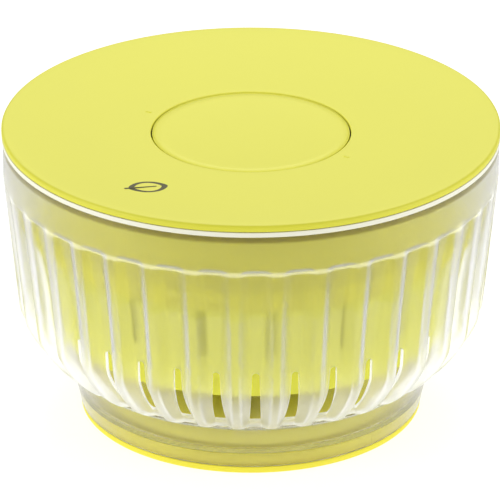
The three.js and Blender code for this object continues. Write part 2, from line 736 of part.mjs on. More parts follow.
function buttonCarrier() {
  const bore = spindleHead + meshGap + 0.1;
  const hub = bore + 3.6;
  const ringInner = carrierRadius - 2.6;
  const ringBottom = buttonBottom + 10;
  return turned([
    [bore, spindleHeadBottom + 2], [hub, spindleHeadBottom + 2], [hub, carrierDisc],
    [ringInner, carrierDisc], [ringInner, ringBottom], [carrierRadius, ringBottom],
    [carrierRadius, carrierTop], [ringInner, carrierTop],
    [ringInner, carrierDisc + carrierDiscThickness], [hub, carrierDisc + carrierDiscThickness],
    [hub, carrierTop], [bore, carrierTop],
  ], largeSegments);
}

function buttonCap() {
  const skirtInside = buttonRadius - buttonWall;
  const snapBottom = buttonBottom + 8;
  const ribOuter = carrierRadius - 0.3;
  const ribInner = ribOuter - 2;
  const top = (radius) => buttonTop - buttonHollow * (1 - (radius / buttonRadius) ** 2);
  const underTop = (radius) => top(radius) - buttonTopThickness;
  const body = turned([
    [0, top(0)], [buttonRadius * 0.4, top(buttonRadius * 0.4)], [buttonRadius * 0.7, top(buttonRadius * 0.7)],
    [buttonRadius - 0.9, buttonTop - 0.1], [buttonRadius, buttonTop - 1.2],
    [buttonRadius, buttonBottom], [skirtInside, buttonBottom], [skirtInside, snapBottom - 0.8],
    [skirtInside - 1, snapBottom], [skirtInside - 1, snapBottom + 1], [skirtInside, snapBottom + 1],
    [skirtInside, underTop(skirtInside)], [ribOuter, underTop(ribOuter)], [ribOuter, carrierTop + meshGap],
    [ribInner, carrierTop + meshGap], [ribInner, underTop(ribInner)], [0, underTop(0)],
  ], largeSegments);
  const lugs = around(buttonLugCount, fluteTurn, (degrees) => ringPiece(
    buttonRadius - buttonWall / 2, lugRadius, buttonBottom, buttonBottom + buttonLugHeight,
    degrees, buttonLugAngle));
  return shaped(body, lugs, []);
}

// ---------------------------------------------------------------------------
// Assembly
// ---------------------------------------------------------------------------

const finishes = {
  frosted: { color: 0xe9eadf, roughness: 0.45, metalness: 0 },
  lime: { color: 0xe7e766, roughness: 0.5, metalness: 0 },
  limeSoft: { color: 0xdad84a, roughness: 0.75, metalness: 0 },
  basketLime: { color: 0xd8d63f, roughness: 0.45, metalness: 0 },
  white: { color: 0xe8e8e4, roughness: 0.5, metalness: 0 },
  acetal: { color: 0xf2efe6, roughness: 0.35, metalness: 0 },
  steel: { color: 0xb9bcc0, roughness: 0.3, metalness: 1 },
};

function part(name, geometry, finish) {
  const mesh = new THREE.Mesh(closedGeometry(geometry), new THREE.MeshStandardMaterial(finishes[finish]));
  mesh.name = name;
  return mesh;
}

const bowlGroup = new THREE.Group();
bowlGroup.add(
  part('outer_bowl', outerBowl(), 'frosted'),
  part('foot_ring', footRing(), 'limeSoft'),
  part('pivot_pin', pivotPin(), 'steel'),
);

const basketGroup = new THREE.Group();
basketGroup.add(
  part('basket_bush', basketBush(), 'acetal'),
  part('basket', basket(), 'basketLime'),
);

const lidGroup = new THREE.Group();
lidGroup.add(
  part('lid_cover', lidCover(), 'lime'),
  part('mechanism_housing', mechanismHousing(), 'white'),
  ...around(screwCount, screwTurn, (degrees, i) =>
    part(`housing_screw_${i + 1}`, housingScrew(degrees), 'steel')),
  part('nut_cap', nutCap(), 'white'),
  part('nut_washer', nutWasher(), 'acetal'),
  part('drive_nut', driveNut(), 'acetal'),
  part('drive_plate', drivePlate(), 'white'),
  part('hub_ring', hubRing(), 'white'),
  part('hub_washer', hubWasher(), 'acetal'),
);

const buttonGroup = new THREE.Group();
buttonGroup.add(
  part('button_cap', buttonCap(), 'lime'),
  part('button_carrier', buttonCarrier(), 'white'),
  part('spindle', spindle(), 'acetal'),
  part('spindle_screw', spindleScrew(), 'steel'),
  part('return_spring', returnSpring(), 'steel'),
);

const saladSpinner = new THREE.Group();
saladSpinner.add(bowlGroup, basketGroup, lidGroup, buttonGroup);

export default saladSpinner;
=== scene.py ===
# %% [markdown]
# # A salad spinner with a flush pump button
#
# This lesson gives the visible ones a fine surface and a finish. A frosted, fluted bowl lets a
# yellow-green basket and lid skirt show through, so most of the work is in thin walls and in how
# light passes through them.

# %% Load the frame
import math

import bpy
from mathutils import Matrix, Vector


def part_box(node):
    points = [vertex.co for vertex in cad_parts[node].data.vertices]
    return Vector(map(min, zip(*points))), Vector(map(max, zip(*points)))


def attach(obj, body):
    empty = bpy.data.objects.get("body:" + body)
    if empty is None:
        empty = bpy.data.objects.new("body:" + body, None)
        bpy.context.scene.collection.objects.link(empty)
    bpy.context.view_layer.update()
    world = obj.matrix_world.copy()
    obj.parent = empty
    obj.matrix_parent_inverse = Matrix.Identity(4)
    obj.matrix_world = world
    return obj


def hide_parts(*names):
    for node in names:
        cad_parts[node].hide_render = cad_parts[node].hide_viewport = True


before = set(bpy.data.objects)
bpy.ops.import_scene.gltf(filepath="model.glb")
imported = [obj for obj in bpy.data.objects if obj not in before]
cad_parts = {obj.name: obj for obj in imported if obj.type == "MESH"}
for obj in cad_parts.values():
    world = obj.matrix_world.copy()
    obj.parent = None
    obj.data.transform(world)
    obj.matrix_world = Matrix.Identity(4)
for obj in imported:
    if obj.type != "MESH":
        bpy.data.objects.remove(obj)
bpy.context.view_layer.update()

# %% [markdown]
# ## Sizes
#
# Blender works in metres, so a small constant turns millimetres into metres. The main radii and
# heights are read from the boxes of the solids; only the shape inside a piece is given here.

# %% Sizes from the frame
MM = 0.001
FULL_TURN = 2 * math.pi

bowl_low, bowl_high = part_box("outer_bowl")
_, foot_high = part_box("foot_ring")
basket_low, basket_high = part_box("basket")
lid_low, lid_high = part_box("lid_cover")
button_low, button_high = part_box("button_cap")
plate_low, plate_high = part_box("drive_plate")

RIM_RADIUS = bowl_high.x
RIM_HEIGHT = bowl_high.z
LID_RADIUS = lid_high.x
LID_TOP = lid_high.z
LID_UNDERSIDE = RIM_HEIGHT + 0.3 * MM
print("rim radius", round(RIM_RADIUS / MM, 1), "mm, rim height", round(RIM_HEIGHT / MM, 1), "mm")

# %% [markdown]
# ## Camera first
#
# The object is seen from a little above and from far away with a long lens, so its circles become
# flat ellipses of almost the same shape from top to bottom. A long lens at three metres does the
# same here. The camera looks at a point on the turning axis just above half height.

# %% Camera
CAMERA_DISTANCE = 3.0
CAMERA_ELEVATION = math.radians(24.8)
LENS = 410
LOOK_AT = Vector((-0.5 * MM, 0, 86.3 * MM))

camera_back = Vector((0, -math.cos(CAMERA_ELEVATION), math.sin(CAMERA_ELEVATION)))
camera_data = bpy.data.cameras.new("camera")
camera_data.lens = LENS
camera_data.sensor_width = 36
camera_data.clip_end = 20
camera = bpy.data.objects.new("camera", camera_data)
camera.location = LOOK_AT + camera_back * CAMERA_DISTANCE
camera.rotation_mode = "QUATERNION"
camera.rotation_quaternion = (-camera_back).to_track_quat("-Z", "Y")
bpy.context.collection.objects.link(camera)
bpy.context.scene.camera = camera
bpy.context.scene.view_settings.view_transform = "Standard"

# Light crosses many thin walls before it comes out again.
WALL_BOUNCES = 24
bpy.context.scene.cycles.max_bounces = WALL_BOUNCES
bpy.context.scene.cycles.transmission_bounces = WALL_BOUNCES
bpy.context.scene.cycles.diffuse_bounces = 6
print("camera at", tuple(round(v, 3) for v in camera.location))

# %% [markdown]
# ## Turned pieces
#
# Nearly every piece is round. By hand one would draw half of its outline and spin it about the
# axis. The helper does that: it adds a small plane, merges it to one point, extrudes that point
# from corner to corner, and spins the line. Each outline is a list of radius and height in
# millimetres. Round corners are short arcs between two straight stretches.

# %% Helpers for outlines
def rounded(points, radii, steps=4):
    """Rounds the corners of an outline: radii says how far each corner is cut back."""
    outline = []
    for i, (point, radius) in enumerate(zip(points, radii)):
        here = Vector(point)
        if not radius:
            outline.append(here)
            continue
        before = Vector(points[i - 1]) - here
        after = Vector(points[(i + 1) % len(points)]) - here
        reach = min(radius, before.length * 0.49, after.length * 0.49)
        start = here + before.normalized() * reach
        end = here + after.normalized() * reach
        for k in range(steps + 1):
            t = k / steps
            outline.append(start * (1 - t) ** 2 + here * 2 * t * (1 - t) + end * t ** 2)
    return [tuple(p) for p in outline]


print("a square with round corners has",
      len(rounded([(0, 0), (1, 0), (1, 1), (0, 1)], [0.2] * 4)), "points")

# %% [markdown]
# ## Finishing, spinning and joining
#
# Each step that is done by hand again and again gets a helper: clean a mesh and smooth it, spin an
# outline, join pieces, apply a modifier, and add a small bevelled block to a wall.

# %% Helpers for pieces
DOUBLES = 0.004 * MM



def finish_mesh(piece, smooth_degrees=35):
    """Merges doubles, turns the faces outwards and smooths all but the sharp edges."""
    bpy.ops.object.mode_set(mode="OBJECT")
    bpy.ops.object.select_all(action="DESELECT")
    piece.select_set(True)
    bpy.context.view_layer.objects.active = piece
    bpy.ops.object.mode_set(mode="EDIT")
    bpy.ops.mesh.select_all(action="SELECT")
    bpy.ops.mesh.remove_doubles(threshold=DOUBLES)
    bpy.ops.mesh.normals_make_consistent(inside=False)
    bpy.ops.object.mode_set(mode="OBJECT")
    bpy.ops.object.shade_smooth_by_angle(angle=math.radians(smooth_degrees))
    return piece


def spun(name, outline, closed=False, steps=144):
    """Spins an outline of (radius, height) in millimetres about the Z axis."""
    corners = [Vector((radius, 0, height)) * MM for radius, height in outline]
    if closed:
        corners.append(corners[0].copy())
    bpy.ops.object.select_all(action="DESELECT")
    bpy.ops.mesh.primitive_plane_add(size=MM, location=(0, 0, 0))
    piece = bpy.context.active_object
    piece.name = name
    bpy.ops.object.mode_set(mode="EDIT")
    bpy.ops.mesh.select_all(action="SELECT")
    bpy.ops.mesh.merge(type="CENTER")
    bpy.ops.transform.translate(value=corners[0])
    for here, there in zip(corners, corners[1:]):
        bpy.ops.mesh.extrude_region_move(TRANSFORM_OT_translate={"value": there - here})
    bpy.ops.mesh.select_all(action="SELECT")
    bpy.ops.mesh.spin(steps=steps, angle=FULL_TURN, center=(0, 0, 0), axis=(0, 0, 1))
    return finish_mesh(piece)


def joined(piece, *others):
    """Joins other objects into a piece."""
    bpy.ops.object.select_all(action="DESELECT")
    for other in others:
        other.select_set(True)
    piece.select_set(True)
    bpy.context.view_layer.objects.active = piece
    bpy.ops.object.join()
    return piece


def applied(piece, kind, **settings):
    """Adds a modifier with its settings and applies it."""
    bpy.ops.object.select_all(action="DESELECT")
    piece.select_set(True)
    bpy.context.view_layer.objects.active = piece
    modifier = piece.modifiers.new(kind.lower(), kind)
    for key, value in settings.items():
        setattr(modifier, key, value)
    bpy.ops.object.modifier_apply(modifier=modifier.name)
    return piece


def tab(name, radius, height, width, depth, rise, degrees, bevel=0.4):
    """A small bevelled block on a wall: width is along the circle and depth along the radius."""
    bpy.ops.object.select_all(action="DESELECT")
    bpy.ops.mesh.primitive_cube_add(size=1, location=(0, 0, 0))
    block = bpy.context.active_object
    block.name = name
    bpy.ops.object.mode_set(mode="EDIT")
    bpy.ops.mesh.select_all(action="SELECT")
    bpy.ops.transform.resize(value=(depth * MM, width * MM, rise * MM))
    bpy.ops.mesh.bevel(offset=bevel * MM, segments=2, affect="EDGES")
    bpy.ops.mesh.select_all(action="SELECT")
    bpy.ops.transform.translate(value=(radius * MM, 0, height * MM))
    bpy.ops.object.mode_set(mode="OBJECT")
    turn_mesh(block, degrees)
    return block


def turn_mesh(piece, degrees):
    """Turns a piece's mesh about the Z axis and leaves its object unturned."""
    bpy.ops.object.select_all(action="DESELECT")
    piece.select_set(True)
    bpy.context.view_layer.objects.active = piece
    piece.rotation_euler.z = math.radians(degrees)
    bpy.ops.object.transform_apply(location=True, rotation=True, scale=True)


def triangles(piece):
    """Counts a piece's triangles."""
    return sum(len(face.vertices) - 2 for face in piece.data.polygons)


print("doubles closer than", DOUBLES / MM, "mm are merged")

# %% [markdown]
# ## The bowl's wall
#
# The wall has 36 ribs with a valley between each two, and a drain slot at the foot of every
# valley. One flute is modelled once: a grid is added, its points are placed on the wall's curve,
# and the faces inside the slot are deleted, which leaves a clean hole. The grid is then spun as
# copies, merged at its seams, and given its thickness. Modelling one flute and copying it keeps
# every slot exactly alike, as a mould does.
#
# The wall's curve comes first. Its crests rise from the shoulder, bend at the knee and run nearly
# straight up to the rim. The valleys are shallow near the top and deepen on their way down.

# %% The wall's curve
FLUTES = 36
FRONT = -88.8
FLUTE_TURN = math.radians(FRONT)
FLUTE_PITCH = FULL_TURN / FLUTES
FLUTE_DEPTH = 6.3
FLUTE_TOP = RIM_HEIGHT / MM - 23
FLUTE_RUN_IN = 2.4
SHALLOW_DEPTH = 2.4
DEEPENING = 48
VALLEY_FLAT, VALLEY_END = 0.14, 0.4
WALL = 2.2
BAND_RADIUS = RIM_RADIUS / MM - 0.6
KNEE_HEIGHT = 59.5
KNEE_RADIUS = BAND_RADIUS - 7.2
KNEE_CURVE = 1.3
SHOULDER_HEIGHT = 30
SHOULDER_RADIUS = 95.8
RIB_OVERHANG = 2.7
SLOT_BOTTOM = 35
SLOT_TOP = 71
SLOT_BOTTOM_WIDTH = 5.9
SLOT_TOP_WIDTH = 3.9
SEAM_HALF = 0.45


def smooth_step(value, low, high):
    """Goes smoothly from 0 at low to 1 at high."""
    t = min(max((value - low) / (high - low), 0), 1)
    return t * t * (3 - 2 * t)


def crest_radius(height):
    """Radius of the rib crests at a height, in millimetres."""
    if height >= KNEE_HEIGHT:
        share = min((height - KNEE_HEIGHT) / (FLUTE_TOP - KNEE_HEIGHT), 1)
        return KNEE_RADIUS + (BAND_RADIUS - KNEE_RADIUS) * share
    drop = min((KNEE_HEIGHT - height) / (KNEE_HEIGHT - SHOULDER_HEIGHT), 1)
    reach = (1 - drop ** KNEE_CURVE) ** (1 / KNEE_CURVE)
    end = SHOULDER_RADIUS + RIB_OVERHANG
    return end + (KNEE_RADIUS - end) * reach


def wall_radius(height, place):
    """Radius of the outer wall; place is 0 in the middle of a valley and 0.5 on a crest."""
    top = smooth_step(FLUTE_TOP - height, 0, FLUTE_RUN_IN)
    end = min(max((height - SHOULDER_HEIGHT) / 5, 0), 1)
    full = SHALLOW_DEPTH + (FLUTE_DEPTH - SHALLOW_DEPTH) * smooth_step(FLUTE_TOP - height, 0, DEEPENING)
    depth = top * (RIB_OVERHANG + (full - RIB_OVERHANG) * end)
    valley = 1 - smooth_step(abs(place), VALLEY_FLAT, VALLEY_END)
    return crest_radius(height) - depth * valley


def slot_half_width(height):
    """Half the slot's width, and above its rounded top a narrow strip that widens again."""
    arch = SLOT_TOP_WIDTH / 2
    if height <= SLOT_TOP - arch:
        share = min(max((height - SLOT_BOTTOM) / (SLOT_TOP - arch - SLOT_BOTTOM), 0), 1)
        return (SLOT_BOTTOM_WIDTH + (SLOT_TOP_WIDTH - SLOT_BOTTOM_WIDTH) * share) / 2
    if height <= SLOT_TOP:
        rise = (height - (SLOT_TOP - arch)) / arch
        return max(arch * math.sqrt(max(1 - rise * rise, 0)), SEAM_HALF)
    return SEAM_HALF + (arch - SEAM_HALF) * smooth_step(height, SLOT_TOP, SLOT_TOP + 8)


print("crest radius at the knee:", round(crest_radius(KNEE_HEIGHT), 1), "mm")

# %% [markdown]
# ## One flute, copied round the bowl
#
# The rows of the grid are closest where the wall bends: at the shoulder, round the top of the slot
# and where the valley ends under the rim. The columns leave a narrow strip in the middle of the
# valley, and its faces are what the slot is cut from.

# %% One flute, copied round the bowl
def spread(low, high, count):
    """Even steps from low up to, but not including, high."""
    return [low + (high - low) * i / count for i in range(count)]


ARCH_START = SLOT_TOP - SLOT_TOP_WIDTH / 2
wall_heights = (
    [SHOULDER_HEIGHT, 30.5, 31.3, 32.3, 33.6]
    + spread(SLOT_BOTTOM, ARCH_START, 12)
    + [ARCH_START, SLOT_TOP - 1.2, SLOT_TOP - 0.6, SLOT_TOP - 0.2, SLOT_TOP]
    + [72.2, 74.5, 79, 86, 96, 106, 116, 122, 125.5]
    + spread(FLUTE_TOP - FLUTE_RUN_IN, FLUTE_TOP, 7)
    + [FLUTE_TOP, FLUTE_TOP + 0.8, FLUTE_TOP + 4, 145, RIM_HEIGHT / MM]
)
side_shares = [0, 0.1, 0.24, 0.38, 0.52, 0.66, 0.82, 1]
column_shares = [-share for share in reversed(side_shares)] + side_shares


def grid_piece(name, columns, rows):
    """Adds a grid of so many columns and rows of points and gives the points in reading order."""
    bpy.ops.object.select_all(action="DESELECT")
    bpy.ops.mesh.primitive_grid_add(x_subdivisions=columns - 1, y_subdivisions=rows - 1, size=1)
    piece = bpy.context.active_object
    piece.name = name
    points = sorted(piece.data.vertices, key=lambda v: (round(v.co.y, 5), round(v.co.x, 5)))
    return piece, points


def delete_faces(piece, wanted):
    """Deletes the faces whose centre the test wants."""
    bpy.ops.object.mode_set(mode="EDIT")
    bpy.ops.mesh.select_mode(type="FACE")
    bpy.ops.mesh.select_all(action="DESELECT")
    bpy.ops.object.mode_set(mode="OBJECT")
    for face in piece.data.polygons:
        face.select = wanted(face.center)
    bpy.ops.object.mode_set(mode="EDIT")
    bpy.ops.mesh.delete(type="FACE")
    bpy.ops.mesh.select_mode(type="VERT")
    bpy.ops.object.mode_set(mode="OBJECT")


def copied_round(piece, count):
    """Spins copies of a sector round the axis and merges them at their seams."""
    bpy.ops.object.select_all(action="DESELECT")
    piece.select_set(True)
    bpy.context.view_layer.objects.active = piece
    bpy.ops.object.mode_set(mode="EDIT")
    bpy.ops.mesh.select_all(action="SELECT")
    bpy.ops.mesh.spin(steps=count - 1, dupli=True, angle=FULL_TURN * (count - 1) / count,
                      center=(0, 0, 0), axis=(0, 0, 1))
    bpy.ops.mesh.select_all(action="SELECT")
    bpy.ops.mesh.remove_doubles(threshold=0.01 * MM)
    bpy.ops.mesh.normals_make_consistent(inside=False)
    bpy.ops.object.mode_set(mode="OBJECT")
    return piece


def outward(piece):
    """Makes sure that an open shell faces away from the axis."""
    face = max(piece.data.polygons, key=lambda f: math.hypot(f.center.x, f.center.y))
    if face.normal.x * face.center.x + face.normal.y * face.center.y < 0:
        bpy.ops.object.mode_set(mode="EDIT")
        bpy.ops.mesh.select_all(action="SELECT")
        bpy.ops.mesh.flip_normals()
        bpy.ops.object.mode_set(mode="OBJECT")
    return piece


bowl_wall, wall_points = grid_piece("bowl_wall", len(column_shares), len(wall_heights))
for index, point in enumerate(wall_points):
    height = wall_heights[index // len(column_shares)]
    share = column_shares[index % len(column_shares)]
    side = 1 if index % len(column_shares) >= len(side_shares) else -1
    slot_angle = slot_half_width(height) / wall_radius(height, 0)
    angle = side * (slot_angle + (FLUTE_PITCH / 2 - slot_angle) * abs(share))
    radius = wall_radius(height, angle / FLUTE_PITCH) * MM
    turn = FLUTE_TURN + angle
    point.co = (radius * math.cos(turn), radius * math.sin(turn), height * MM)


def in_slot(centre):
    """Says whether a face lies in the strip that the drain slot is cut from."""
    off_middle = abs(math.atan2(centre.y, centre.x) - FLUTE_TURN) * math.hypot(centre.x, centre.y)
    return SLOT_BOTTOM * MM < centre.z < SLOT_TOP * MM and off_middle < 0.1 * MM


delete_faces(bowl_wall, in_slot)
outward(copied_round(bowl_wall, FLUTES))
applied(bowl_wall, "SOLIDIFY", thickness=WALL * MM, offset=-1, use_even_offset=False)
applied(bowl_wall, "BEVEL", width=0.3 * MM, segments=2, limit_method="ANGLE",
        angle_limit=math.radians(60))
finish_mesh(bowl_wall, 40)
print("bowl wall:", len(bowl_wall.data.polygons), "faces,", triangles(bowl_wall), "triangles")

# %% [markdown]
# ## The rim bead and the base
#
# The bead is a narrow, nearly opaque strip that the lid rests on. The base under the ribs is
# smooth and clearer than the wall. It carries the floor and, in the middle, the cone that holds
# the pin. Both are plain turned outlines with small rounded corners.

# %% Rim bead and base
rim = RIM_HEIGHT / MM
bead = spun("rim_bead", rounded([
    (BAND_RADIUS + 0.02, rim - 2.7), (RIM_RADIUS / MM - 0.1, rim - 2.6),
    (RIM_RADIUS / MM, rim - 0.02), (BAND_RADIUS + 0.02, rim - 0.02),
], [0, 0.3, 0.4, 0]), closed=True)

FLOOR_TOP = 14.5
FLOOR_UNDER = 12
BASE_FOOT_RADIUS = 90.6
BASE_FOOT = bowl_low.z / MM
PIVOT_TOP = 38.3
pin_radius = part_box("pivot_pin")[1].x / MM
base = spun("bowl_base", [(0, FLOOR_UNDER)] + rounded([
    (BASE_FOOT_RADIUS - 0.9, FLOOR_UNDER), (BASE_FOOT_RADIUS - 2.3, BASE_FOOT),
    (BASE_FOOT_RADIUS, BASE_FOOT), (92.6, 14), (94.6, 23), (95.7, 28.2), (97.3, 29.96),
    (93.3, 29.96), (92.4, 23), (90.6, FLOOR_TOP), (15, FLOOR_TOP),
    (8, PIVOT_TOP), (pin_radius + 0.3, PIVOT_TOP), (pin_radius + 0.3, 26.3),
], [0.6, 0.5, 0.6, 3, 3, 1, 0, 0.3, 3, 2.5, 2, 0.8, 0.4, 0.2]) + [(0, 26.3)])
print("rim bead and base:", triangles(bead), triangles(base), "triangles")

# %% [markdown]
# ## The foot ring
#
# A soft ring carries the bowl. Only its lower band shows bare; its collar stands inside the base
# and is seen through it, with four thicker tabs that clip it in place. A disc closes the collar
# under the bowl's clear floor, and its colour and its painted glow tint the whole base.

# %% Foot ring
foot_outer = foot_high.x / MM
collar_outer = BASE_FOOT_RADIUS - 2.9
collar_top = foot_high.z / MM
DISC_HOLE = 8
DISC_THICKNESS = 2
BAND_WIDTH, BAND_TOP, BAND_THICKNESS = 12, 3.9, 3
COLLAR_WALL = 2.4
collar_inner = collar_outer - COLLAR_WALL
foot_ring = spun("foot_ring_soft", rounded([
    (foot_outer - BAND_WIDTH, 0), (foot_outer - 1.2, 0), (foot_outer - 0.2, 1.2),
    (foot_outer, BAND_TOP), (collar_outer, BAND_TOP), (collar_outer, collar_top),
    (DISC_HOLE, collar_top), (DISC_HOLE, collar_top - DISC_THICKNESS),
    (collar_inner, collar_top - DISC_THICKNESS), (collar_inner, BAND_THICKNESS),
    (foot_outer - BAND_WIDTH, BAND_THICKNESS),
], [0.5, 0.6, 0.6, 0.5, 0, 0.5, 0.4, 0.4, 0.8, 0.8, 0.5]), closed=True)
foot_tabs = [
    tab(f"tab_{i}", collar_inner, height=7, width=18, depth=4.2, rise=8.4, degrees=90 * i - 129)
    for i in range(4)
]
joined(foot_ring, *foot_tabs)
print("foot ring:", triangles(foot_ring), "triangles")

# %% [markdown]
# ## The basket
#
# The basket is made as the wall was, from one sector as a grid. Its path runs down the wall,
# round the bottom corner and across the floor to the hub, with two tiers of slots in the wall and
# two in the floor.

# %% Basket sector
SECTORS = 18
BASKET_WALL = 1.8
SECTOR_PITCH = FULL_TURN / SECTORS
BASKET_FLOOR = 50.8
BASKET_FOOT_RADIUS = 103.5
BASKET_TOP = basket_high.z / MM
BASKET_TOP_RADIUS = basket_high.x / MM - 1.3
HUB_RADIUS = 9.7
SLOT_HALF = 1.6
BASKET_TURN = FLUTE_TURN + FLUTE_PITCH / 2


def basket_radius(height):
    """Outer radius of the basket's wall at a height, in millimetres."""
    share = (height - BASKET_FLOOR) / (BASKET_TOP - BASKET_FLOOR)
    return BASKET_FOOT_RADIUS + (BASKET_TOP_RADIUS - BASKET_FOOT_RADIUS) * share


tier_low, tier_high = BASKET_FLOOR + 24, BASKET_TOP - 7.2
tier_rise = (tier_high - tier_low - 6) / 2
tiers = [(tier_low, tier_low + tier_rise), (tier_low + tier_rise + 6, tier_high)]
floor_middle = (HUB_RADIUS + BASKET_FOOT_RADIUS) / 2
floor_tiers = [(HUB_RADIUS + 9, floor_middle - 7), (floor_middle + 2, BASKET_FOOT_RADIUS - 9)]

wall_path = [BASKET_TOP, BASKET_TOP - 1.6, BASKET_TOP - 3.6]
for low, high in reversed(tiers):
    wall_path += [high, high - 1, high - 3, (low + high) / 2, low + 3, low + 1, low]
wall_path += [68, 62, 57]
basket_path = [(basket_radius(height), height) for height in wall_path]
bottom_corner = rounded([
    (basket_radius(57), 57), (BASKET_FOOT_RADIUS, BASKET_FLOOR),
    (BASKET_FOOT_RADIUS - 7, BASKET_FLOOR),
], [0, 2.2, 0], 5)
basket_path += bottom_corner[1:]
for low, high in reversed(floor_tiers):
    basket_path += [(radius, BASKET_FLOOR) for radius in
                    (high, high - 1.5, (low + high) / 2, low + 1.5, low)]
basket_path += [(HUB_RADIUS + 3, BASKET_FLOOR), (HUB_RADIUS - 0.6, BASKET_FLOOR)]

basket, basket_points = grid_piece("basket_shell", len(column_shares), len(basket_path))
for index, point in enumerate(basket_points):
    radius, height = basket_path[index // len(column_shares)]
    share = column_shares[index % len(column_shares)]
    side = 1 if index % len(column_shares) >= len(side_shares) else -1
    slot_angle = min(SLOT_HALF / radius, SECTOR_PITCH * 0.3)
    angle = BASKET_TURN + side * (slot_angle + (SECTOR_PITCH / 2 - slot_angle) * abs(share))
    point.co = (radius * MM * math.cos(angle), radius * MM * math.sin(angle), height * MM)
print("one sector:", len(basket.data.polygons), "faces")

# %% [markdown]
# ## Basket slots, copies and hub
#
# The slot faces are deleted, the copies are spun and merged, and then the shell gets its
# thickness. The inner slots of the floor are only in every other sector, where there is room, so
# they are cut after the copies are merged. A lip and a hub finish the piece.

# %% Basket slots, copies and hub
def in_tier(value, ranges):
    """Says whether a length in metres lies in one of some ranges in millimetres."""
    return any(low * MM < value < high * MM for low, high in ranges)


def in_basket_slot(centre):
    """Picks the slots that every sector has."""
    radius = math.hypot(centre.x, centre.y)
    middle = abs(math.atan2(centre.y, centre.x) - BASKET_TURN) * radius < 0.1 * MM
    on_floor = centre.z < (BASKET_FLOOR + 0.5) * MM
    if on_floor:
        return middle and in_tier(radius, floor_tiers[1:])
    return middle and in_tier(centre.z, tiers)


def in_inner_slot(centre):
    """Picks the inner floor slots, which only every other sector has."""
    turns = (math.atan2(centre.y, centre.x) - BASKET_TURN) / (2 * SECTOR_PITCH)
    radius = math.hypot(centre.x, centre.y)
    off_middle = abs(turns - round(turns)) * 2 * SECTOR_PITCH * radius
    on_floor = centre.z < (BASKET_FLOOR + 0.5) * MM
    return on_floor and off_middle < 0.1 * MM and in_tier(radius, floor_tiers[:1])


delete_faces(basket, in_basket_slot)
outward(copied_round(basket, SECTORS))
delete_faces(basket, in_inner_slot)
applied(basket, "SOLIDIFY", thickness=BASKET_WALL * MM, offset=-1, use_even_offset=True)
applied(basket, "BEVEL", width=0.3 * MM, segments=1, limit_method="ANGLE",
        angle_limit=math.radians(60))

basket_lip = spun("basket_lip", rounded([
    (BASKET_TOP_RADIUS - 0.4, BASKET_TOP - 3.2), (BASKET_TOP_RADIUS + 1.3, BASKET_TOP - 3.2),
    (BASKET_TOP_RADIUS + 1.3, BASKET_TOP), (BASKET_TOP_RADIUS - 0.4, BASKET_TOP),
], [0, 0.5, 0.5, 0.2]), closed=True)
hub_low = basket_low.z / MM
hub_top = BASKET_FLOOR + 5.6
hub = spun("basket_hub", [(0, hub_top - 1.8)] + rounded([
    (7.1, hub_top - 1.8), (7.1, hub_low), (HUB_RADIUS, hub_low), (HUB_RADIUS, hub_top),
], [0.3, 0.4, 0.4, 1.2]) + [(0, hub_top)], steps=72)
joined(basket, basket_lip, hub)
finish_mesh(basket, 40)
print("basket:", triangles(basket), "triangles")

# %% [markdown]
# ## The lid
#
# The lid is one turned shell: a rounded edge, a gentle dish down to the button, a locating rib
# that drops into the bowl's mouth, and a deep skirt whose lower edge is thicker. The dish follows
# a power curve, which is flat near the button and lifts towards the edge.

# %% Lid
OPENING_RADIUS = 52.3
BUTTON_TOP = button_high.z / MM + 0.1
DISH_END = LID_RADIUS / MM - 6
DISH_DEPTH = LID_TOP / MM - BUTTON_TOP
lid_top = LID_TOP / MM
lid_under = LID_UNDERSIDE / MM
skirt_bottom = lid_low.z / MM
LID_THICKNESS = 2.4
RIB_OUTER, RIB_INNER, RIB_DROP = 125.7, 123.9, 3.5
SKIRT_OUTER, SKIRT_INNER = 116.6, 115
EDGE_OUTER, EDGE_INNER, EDGE_RISE = 117.5, 115.9, 10


def dish_height(radius):
    """Height of the lid's top at a radius, in millimetres."""
    share = min(max((radius - OPENING_RADIUS) / (DISH_END - OPENING_RADIUS), 0), 1)
    return BUTTON_TOP + (DISH_DEPTH - 0.3) * share ** 1.6


dish = [OPENING_RADIUS + (DISH_END - OPENING_RADIUS) * i / 12 for i in range(1, 13)]
lid_corners = (
    [(OPENING_RADIUS, BUTTON_TOP - LID_THICKNESS, 0.4), (OPENING_RADIUS, BUTTON_TOP, 0.7)]
    + [(radius, dish_height(radius), 0) for radius in dish]
    + [(LID_RADIUS / MM, lid_top + 0.1, 2.4), (LID_RADIUS / MM - 0.2, lid_under, 0.5)]
    + [(RIB_OUTER, lid_under, 0), (RIB_OUTER, lid_under - RIB_DROP, 0.5)]
    + [(RIB_INNER, lid_under - RIB_DROP, 0.5), (RIB_INNER, lid_under, 0)]
    + [(SKIRT_OUTER, lid_under, 0), (SKIRT_OUTER, skirt_bottom + EDGE_RISE + 1, 0.5)]
    + [(EDGE_OUTER, skirt_bottom + EDGE_RISE, 0.4), (EDGE_OUTER, skirt_bottom, 0.4)]
    + [(EDGE_INNER, skirt_bottom, 0.4), (SKIRT_INNER, skirt_bottom + EDGE_RISE, 1)]
    + [(SKIRT_INNER, dish_height(SKIRT_INNER) - LID_THICKNESS, 1)]
    + [(80, dish_height(80) - LID_THICKNESS, 0)]
)
lid_outline = rounded([place[:2] for place in lid_corners], [place[2] for place in lid_corners])
lid = spun("lid_shell", lid_outline, closed=True, steps=180)
print("lid:", triangles(lid), "triangles")

# %% [markdown]
# ## The button
#
# The button is a deep cup that fills the opening. Its top is slightly hollow, so a palm sits in
# it, and its edge is rounded. When it is caught down its edge is level with the dish round it.
# Three lugs at the foot of its wall keep it from leaving the lid.

